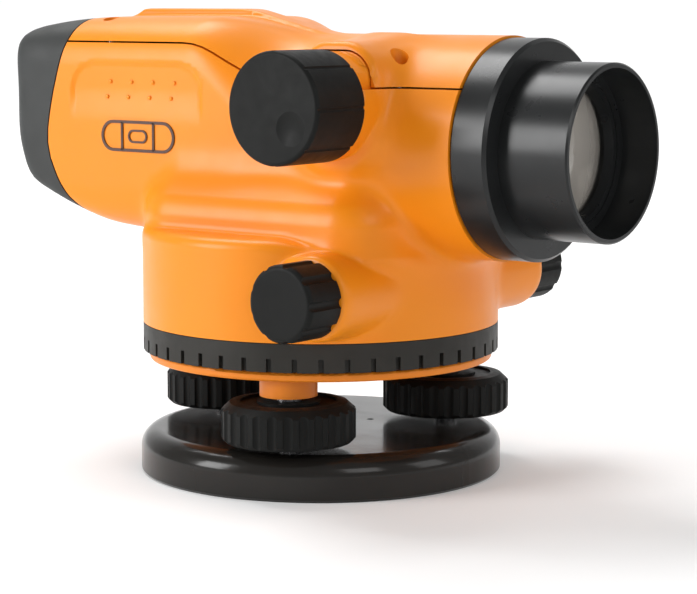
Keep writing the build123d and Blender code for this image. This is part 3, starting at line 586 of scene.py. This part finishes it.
def castings():
    """Housing, top cover and rear cover, in place of their plain CAD nodes."""
    case = whole_case()
    near = half_space(1, NEAR_SIDE_Y, 1)
    housing, cover, rear = housing_shape(case, near), cover_shape(case, near), rear_shape(case)

    low = np.array([BODY_BACK - 3, -DRIVE_BOSS_OUT - 6, DRUM_BOTTOM - 2.6])
    high = np.array([TUBE_FRONT + 3, DRUM_R + 3, RAIL_TOP + 3])
    axes = [np.arange(a, b, STEP) for a, b in zip(low, high)]
    grid = np.stack(np.meshgrid(*axes, indexing="ij"), -1)
    grid_shape = grid.shape[:3]
    grid = grid.reshape(-1, 3).astype(np.float32)
    SAVED["grid"] = grid
    for name, shape, node, slot in (
            ("housing_casting", housing, "main_housing", "orange_shell"),
            ("cover_casting", cover, "top_cover", "orange_shell"),
            ("rear_casting", rear, "rear_cover", "rear_black")):
        piece = casting(name, shape, grid, grid_shape, low)
        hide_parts(node)
        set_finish(piece, slot)
        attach(piece, "alidade")
    SAVED.clear()
    SAVED["grid"] = None


# ---- small pieces -------------------------------------------------------------------------

def new_piece(name, vertices, faces, body, slot, smooth=False):
    mesh = bpy.data.meshes.new(name)
    mesh.from_pydata([tuple(c * MM for c in v) for v in vertices], [], faces)
    mesh.validate()
    if smooth:
        mesh.polygons.foreach_set("use_smooth", [True] * len(mesh.polygons))
    piece = bpy.data.objects.new(name, mesh)
    bpy.context.collection.objects.link(piece)
    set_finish(piece, slot)
    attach(piece, body)
    return piece


def extruded(loops, y0, y1):
    """Closed strips between pairs of outlines in X and Z, from y0 to y1."""
    vertices, faces = [], []
    for outer, inner in loops:
        n, start = len(outer), len(vertices)
        for loop in (outer, inner):
            for y in (y0, y1):
                vertices += [(x, y, z) for x, z in loop]
        for i in range(n):
            j = (i + 1) % n
            # rings in order: outer at y0, outer at y1, inner at y0, inner at y1
            rings = [start + k * n for k in range(4)]
            for a, b in ((0, 1), (1, 3), (3, 2), (2, 0)):
                faces.append((rings[a] + i, rings[a] + j, rings[b] + j, rings[b] + i))
    return vertices, faces


def capsule(x, z, half_x, half_z, count=16):
    """Outline of a rounded bar with half-round ends."""
    points = []
    for end, first in ((1, -90), (-1, 90)):
        for i in range(count + 1):
            angle = radians(first + 180 * i / count)
            points.append((x + end * (half_x - half_z) + half_z * cos(angle),
                           z + half_z * sin(angle)))
    return points


def vial_mark():
    """A printed picture of a level vial, where such instruments carry their lettering."""
    x, z, line = -46.5, 104.6, 0.9
    vial_x, vial_z, bubble_x, bubble_z, bubble_line = 15.4, 4.9, 4.0, 2.1, 0.63
    loops = [(capsule(x, z, vial_x, vial_z), capsule(x, z, vial_x - line, vial_z - line)),
             (capsule(x, z, bubble_x, bubble_z),
              capsule(x, z, bubble_x - bubble_line, bubble_z - bubble_line))]
    for middle in (x - 6.6, x + 6.6):
        bar = ((-0.4, -4.4), (0.4, -4.4), (0.4, 4.4), (-0.4, 4.4))
        loops.append(([(middle + u, z + v) for u, v in bar],
                      [(middle + 0.02 * u, z + 0.9 * v) for u, v in bar]))
    vertices, faces = extruded(loops, -BODY_Y - 0.07, -BODY_Y + 0.3)
    return new_piece("vial_mark", vertices, faces, "alidade", "knob_black")


def side_dots():
    """Two rows of small dimpled dots in the panel of the near side."""
    vertices, faces = [], []
    pitch, radius, height, around, rings = 8.95, 0.66, 0.26, 20, 5
    for first_x, cz in ((-58.6, 121.6), (-59.9, 116.8)):
        for column in range(4):
            start = len(vertices)
            cx = first_x + column * pitch
            base = -BODY_Y + float(recess(np.array([[cx, -BODY_Y, cz]]))[0]) + 0.15
            for ring in range(rings):
                bend = radians(90 * ring / rings)
                for i in range(around):
                    angle = tau * i / around
                    vertices.append((cx + radius * cos(bend) * cos(angle),
                                     base - height * (0.3 + sin(bend)),
                                     cz + radius * cos(bend) * sin(angle)))
            vertices.append((cx, base - height * 1.3, cz))
            vertices.append((cx, base, cz))
            for ring in range(rings - 1):
                for i in range(around):
                    a, b = start + ring * around, start + (ring + 1) * around
                    j = (i + 1) % around
                    faces.append((a + i, a + j, b + j, b + i))
            top, last = start + rings * around, start + (rings - 1) * around
            for i in range(around):
                faces.append((last + i, last + (i + 1) % around, top))
                faces.append((start + (i + 1) % around, start + i, top + 1))
    return new_piece("side_dots", vertices, faces, "alidade", "orange_shell", True)


def circle_marks():
    """Degree lines round the horizontal circle's white band, a longer one every five."""
    low, high = corners("circle_scale")
    radius, foot = high[0], low[2] + 0.4
    vertices, faces = [], []
    for i in range(360):
        angle = tau * i / 360
        tall = 3.4 if i % 10 == 0 else 2.6 if i % 5 == 0 else 1.6
        half = 0.11 if i % 5 else 0.16
        start = len(vertices)
        for r in (radius - 0.1, radius + 0.04):
            for side, z in ((-1, foot), (1, foot), (1, foot + tall), (-1, foot + tall)):
                vertices.append((r * cos(angle) - side * half * sin(angle),
                                 r * sin(angle) + side * half * cos(angle), z))
        for quad in ((3, 2, 1, 0), (4, 5, 6, 7), (0, 1, 5, 4), (1, 2, 6, 5), (2, 3, 7, 6),
                     (3, 0, 4, 7)):
            faces.append(tuple(start + k for k in quad))
    return new_piece("circle_marks", vertices, faces, "circle", "knob_black")


def turned_ring(name, profile, place, body, slot, count=72):
    """A ring turned about a vertical line, from a closed profile of radius and height."""
    vertices, faces = [], []
    n = len(profile)
    for i in range(count):
        angle = tau * i / count
        vertices += [(place[0] + r * cos(angle), place[1] + r * sin(angle), z)
                     for r, z in profile]
    for i in range(count):
        a, b = i * n, (i + 1) % count * n
        for k in range(n):
            m = (k + 1) % n
            faces.append((a + k, b + k, b + m, a + m))
    return new_piece(name, vertices, faces, body, slot)


def level_details():
    """The centring circle and the bubble of the circular level."""
    low, high = corners("level_vial")
    x, y = (low + high)[:2] / 2
    top = high[2]
    ring = [(2.9, top - 0.05), (3.3, top - 0.05), (3.3, top + 0.06), (2.9, top + 0.06)]
    turned_ring("level_circle", ring, (x, y), "alidade", "knob_black")
    vertices, faces = [], []
    rings, around = 8, 24
    for i in range(rings + 1):
        bend = radians(-90 + 180 * i / rings)
        for k in range(around):
            angle = tau * k / around
            vertices.append((x + 0.7 + 2.3 * cos(bend) * cos(angle),
                             y - 0.4 + 2.3 * cos(bend) * sin(angle),
                             top - 0.9 + 0.7 * sin(bend)))
    for i in range(rings):
        for k in range(around):
            a, b, m = i * around, (i + 1) * around, (k + 1) % around
            faces.append((a + k, a + m, b + m, b + k))
    new_piece("level_bubble", vertices, faces, "alidade", "lens_glass", True)


# ---- materials ----------------------------------------------------------------------------

class Finish:
    """A procedural material, built up from a base colour."""

    def __init__(self, name, colour, roughness, metallic=0.0, **sockets):
        self.material = bpy.data.materials.new(name)
        self.material.use_nodes = True
        self.nodes = self.material.node_tree.nodes
        self.links = self.material.node_tree.links
        self.shader = self.nodes["Principled BSDF"]
        self.shader.inputs["Base Color"].default_value = (*colour, 1)
        self.shader.inputs["Roughness"].default_value = roughness
        self.shader.inputs["Metallic"].default_value = metallic
        for key, value in sockets.items():
            self.shader.inputs[key.replace("_", " ")].default_value = value
        self.colour, self.roughness = colour, roughness
        self.place = self.nodes.new("ShaderNodeTexCoord").outputs["Object"]
        self.height = None

    def noise(self, size, detail=3.0, stretch=None):
        """A noise whose lumps measure about size millimetres."""
        node = self.nodes.new("ShaderNodeTexNoise")
        node.inputs["Scale"].default_value = 1 / (size * MM)
        node.inputs["Detail"].default_value = detail
        source = self.place
        if stretch:
            mapping = self.nodes.new("ShaderNodeMapping")
            mapping.inputs["Scale"].default_value = stretch
            self.links.new(source, mapping.inputs["Vector"])
            source = mapping.outputs["Vector"]
        self.links.new(source, node.inputs["Vector"])
        return node.outputs["Fac"]

    def spread(self, value, low, high):
        """Stretches a noise, which stays near 0.5, to fill the span from low to high."""
        node = self.nodes.new("ShaderNodeMapRange")
        node.inputs["From Min"].default_value = 0.3
        node.inputs["From Max"].default_value = 0.7
        node.inputs["To Min"].default_value = low
        node.inputs["To Max"].default_value = high
        self.links.new(value, node.inputs["Value"])
        return node.outputs["Result"]

    def tint(self, size, other):
        """Drifts the colour towards another one in soft patches."""
        mix = self.nodes.new("ShaderNodeMix")
        mix.data_type = "RGBA"
        mix.inputs["A"].default_value = (*self.colour, 1)
        mix.inputs["B"].default_value = (*other, 1)
        self.links.new(self.spread(self.noise(size), 0, 1), mix.inputs["Factor"])
        self.links.new(mix.outputs["Result"], self.shader.inputs["Base Color"])
        return self

    def uneven(self, size, amount):
        """Varies the roughness either way by amount."""
        value = self.spread(self.noise(size, 4.0), self.roughness - amount,
                            self.roughness + amount)
        self.links.new(value, self.shader.inputs["Roughness"])
        return self

    def relief(self, size, height, stretch=None):
        """Adds a fine bump, with a height in millimetres."""
        node = self.nodes.new("ShaderNodeBump")
        node.inputs["Distance"].default_value = height * MM
        node.inputs["Strength"].default_value = 1.0
        self.links.new(self.noise(size, 2.0, stretch), node.inputs["Height"])
        if self.height:
            self.links.new(self.height, node.inputs["Normal"])
        self.height = node.outputs["Normal"]
        self.links.new(self.height, self.shader.inputs["Normal"])
        return self


def finishes():
    """One finish for each material slot of the record."""
    orange = dict(Coat_Weight=0.09, Coat_Roughness=0.22, Specular_IOR_Level=0.26)
    dull = dict(Specular_IOR_Level=0.22)
    matt = dict(Specular_IOR_Level=0.13)
    made = {
        "orange_shell": Finish("orange_shell_paint", (0.90, 0.262, 0.007), 0.37, **orange)
        .tint(60, (0.91, 0.282, 0.010)).uneven(7, 0.035).relief(0.55, 0.006).relief(4, 0.008),
        "orange_tribrach": Finish("orange_tribrach_paint", (0.86, 0.255, 0.015), 0.40, **orange)
        .tint(30, (0.80, 0.22, 0.012)).uneven(6, 0.05).relief(0.6, 0.012),
        "rear_black": Finish("rear_cover_grain", (0.040, 0.042, 0.041), 0.50, **dull)
        .tint(25, (0.055, 0.058, 0.058)).uneven(5, 0.05).relief(0.35, 0.012),
        "knob_black": Finish("knob_rubber", (0.0065, 0.0068, 0.0063), 0.50, **matt)
        .tint(12, (0.010, 0.0105, 0.010)).uneven(3, 0.06).relief(0.28, 0.014),
        "ring_black": Finish("circle_ring_moulding", (0.024, 0.023, 0.020), 0.48, **dull)
        .tint(18, (0.034, 0.032, 0.028)).uneven(4, 0.06).relief(0.3, 0.012),
        "base_black": Finish("base_enamel", (0.011, 0.010, 0.0085), 0.20,
                             Coat_Weight=0.14, Coat_Roughness=0.08, **dull)
        .tint(40, (0.018, 0.016, 0.014)).uneven(14, 0.05).relief(2.2, 0.010),
        "anodised_black": Finish("black_anodising", (0.010, 0.0108, 0.0112), 0.29,
                                 Specular_IOR_Level=0.34)
        .tint(20, (0.017, 0.018, 0.0185)).uneven(9, 0.02).relief(6, 0.004),
        "aluminium": Finish("machined_aluminium", (0.70, 0.71, 0.72), 0.34, 1.0)
        .tint(8, (0.60, 0.61, 0.63)).uneven(2, 0.08).relief(0.15, 0.003),
        "steel": Finish("turned_steel", (0.58, 0.58, 0.59), 0.26, 1.0)
        .tint(5, (0.48, 0.48, 0.49)).uneven(1.5, 0.08).relief(0.2, 0.004, stretch=(1, 1, 5)),
        "brass": Finish("turned_brass", (0.72, 0.50, 0.20), 0.30, 1.0)
        .tint(6, (0.60, 0.40, 0.15)).uneven(2, 0.08).relief(0.2, 0.004, stretch=(1, 1, 5)),
        "scale_white": Finish("scale_band", (0.82, 0.82, 0.79), 0.45)
        .tint(10, (0.76, 0.75, 0.71)).uneven(3, 0.05).relief(0.4, 0.004),
        # Glass for the lens and the level bubble is only two thirds clear. Its pale beige base
        # colour shows on the rest as a painted reflection, standing in for the pale reflection a
        # lens shows.
        "lens_glass": Finish("glass_with_painted_reflection", (0.86, 0.82, 0.76), 0.03, Transmission_Weight=0.66,
                             IOR=1.5, Coat_Weight=0.25, Coat_Roughness=0.02,
                             Coat_Tint=(0.9, 0.85, 0.78, 1))
        .tint(15, (0.83, 0.79, 0.74)),
        "vial_glass": Finish("vial_spirit", (0.62, 0.86, 0.30), 0.05, Transmission_Weight=0.9,
                             IOR=1.45).tint(6, (0.55, 0.80, 0.24)),
        "mirror_glass": Finish("mirror_silver", (0.88, 0.90, 0.90), 0.04, 1.0)
        .tint(14, (0.82, 0.85, 0.86)).uneven(8, 0.015),
    }
    return {name: finish.material for name, finish in made.items()}


def paint(made):
    """Gives every CAD node and every new piece the finish of its slot."""
    for node in NODES.values():
        for slot in node.material_slots:
            if slot.material and slot.material.name in made:
                slot.material = made[slot.material.name]
    for piece in list(bpy.context.collection.objects):
        if piece.type == "MESH" and piece.get("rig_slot") and not piece.data.materials:
            piece.data.materials.append(made[piece["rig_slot"]])


def print_ink():
    """Dark brown ink for the printed mark."""
    ink = Finish("printed_ink", (0.060, 0.022, 0.014), 0.5)
    return ink.tint(3, (0.085, 0.032, 0.018)).uneven(2, 0.05).relief(0.3, 0.004).material


def soften_edges():
    """A small bevel along the hard edges of the CAD nodes that show."""
    widths = {"focus_knob": 0.35, "drive_knob_near": 0.35, "drive_knob_far": 0.35,
              "front_ring": 0.30, "objective_tube": 0.22, "circle_ring": 0.30,
              "diopter_ring": 0.30, "level_housing": 0.40, "level_mirror_holder": 0.35,
              "tribrach_body": 0.30, "base_plate": 0.25, "foot_screw_knob_a": 0.38,
              "foot_screw_knob_b": 0.38, "foot_screw_knob_c": 0.38}
    for name, width in widths.items():
        bevel = NODES[name].modifiers.new("edge", "BEVEL")
        bevel.width = width * MM
        bevel.segments = 2
        bevel.limit_method = "ANGLE"
        bevel.angle_limit = radians(32)
        bevel.harden_normals = True
        bevel.miter_outer = "MITER_ARC"


# ---- studio -------------------------------------------------------------------------------

def floor():
    """A pale floor that curves up into a backdrop far behind the instrument."""
    span, back, rise, bend = 6.0, 4.0, 3.5, 1.5
    profile = [(-span, 0.0), (back - bend, 0.0)]
    for i in range(1, 13):
        angle = radians(90 * i / 12)
        profile.append((back - bend + bend * sin(angle), bend - bend * cos(angle)))
    profile.append((back, rise))
    yaw = radians(CAMERA_YAW)
    ahead, right = Vector((-sin(yaw), cos(yaw), 0)), Vector((cos(yaw), sin(yaw), 0))
    vertices, faces = [], []
    for along, z in profile:
        for side in (-span, span):
            vertices.append(tuple(ahead * along + right * side + Vector((0, 0, z))))
    for i in range(len(profile) - 1):
        faces.append((2 * i, 2 * i + 1, 2 * i + 3, 2 * i + 2))
    mesh = bpy.data.meshes.new("studio_floor")
    mesh.from_pydata(vertices, [], faces)
    mesh.polygons.foreach_set("use_smooth", [True] * len(faces))
    stage = bpy.data.objects.new("studio_floor", mesh)
    bpy.context.collection.objects.link(stage)
    paper = Finish("studio_paper", (0.93, 0.93, 0.93), 0.8, Emission_Color=(1, 1, 1, 1),
                   Emission_Strength=0.11, Specular_IOR_Level=0.1)
    mesh.materials.append(paper.tint(400, (0.91, 0.91, 0.91)).relief(1.5, 0.01).material)


def softbox(name, place, size, watts, aim=(0, 0, 0.08)):
    lamp = bpy.data.lights.new(name, "AREA")
    lamp.shape = "RECTANGLE"
    lamp.size, lamp.size_y = size
    lamp.energy = watts
    box = bpy.data.objects.new(name, lamp)
    box.location = place
    box.rotation_euler = (Vector(aim) - Vector(place)).to_track_quat("-Z", "Y").to_euler()
    bpy.context.collection.objects.link(box)


CAMERA_PLACE = (0.4375, -0.560, 0.1475)
CAMERA_YAW = 37.295
CAMERA_PITCH = 82.5         # degrees up from straight down
CAMERA_LENS = 117.0


def camera():
    data = bpy.data.cameras.new("camera")
    data.lens = CAMERA_LENS
    data.sensor_width = 36.0
    data.clip_start = 0.02
    view = bpy.data.objects.new("camera", data)
    view.location = CAMERA_PLACE
    view.rotation_euler = (radians(CAMERA_PITCH), 0, radians(CAMERA_YAW))
    bpy.context.collection.objects.link(view)
    bpy.context.scene.camera = view


def studio():
    world = bpy.data.worlds.new("studio_air")
    world.use_nodes = True
    world.node_tree.nodes["Background"].inputs["Color"].default_value = (1, 1, 1, 1)
    world.node_tree.nodes["Background"].inputs["Strength"].default_value = 0.34
    bpy.context.scene.world = world
    bpy.context.scene.view_settings.view_transform = "Standard"
    softbox("top_light", (-0.55, 0.10, 1.15), (0.6, 0.6), 8)
    softbox("left_light", (-0.70, -1.00, 0.45), (0.45, 0.6), 10)
    softbox("right_light", (1.20, 0.50, 0.60), (0.5, 0.7), 2.5)
    softbox("front_light", (1.30, -0.60, 0.80), (0.6, 0.6), 3.5)
    yaw = radians(CAMERA_YAW)
    ahead = Vector((-sin(yaw), cos(yaw), 0))
    softbox("backdrop_light", ahead * 1.3 + Vector((0, 0, 1.9)), (3.0, 0.8), 45,
            aim=ahead * 3.2)


camera()
floor()
studio()
castings()
vial_mark()
side_dots()
circle_marks()
level_details()
soften_edges()
paint(finishes())
bpy.data.objects["vial_mark"].data.materials[0] = print_ink()
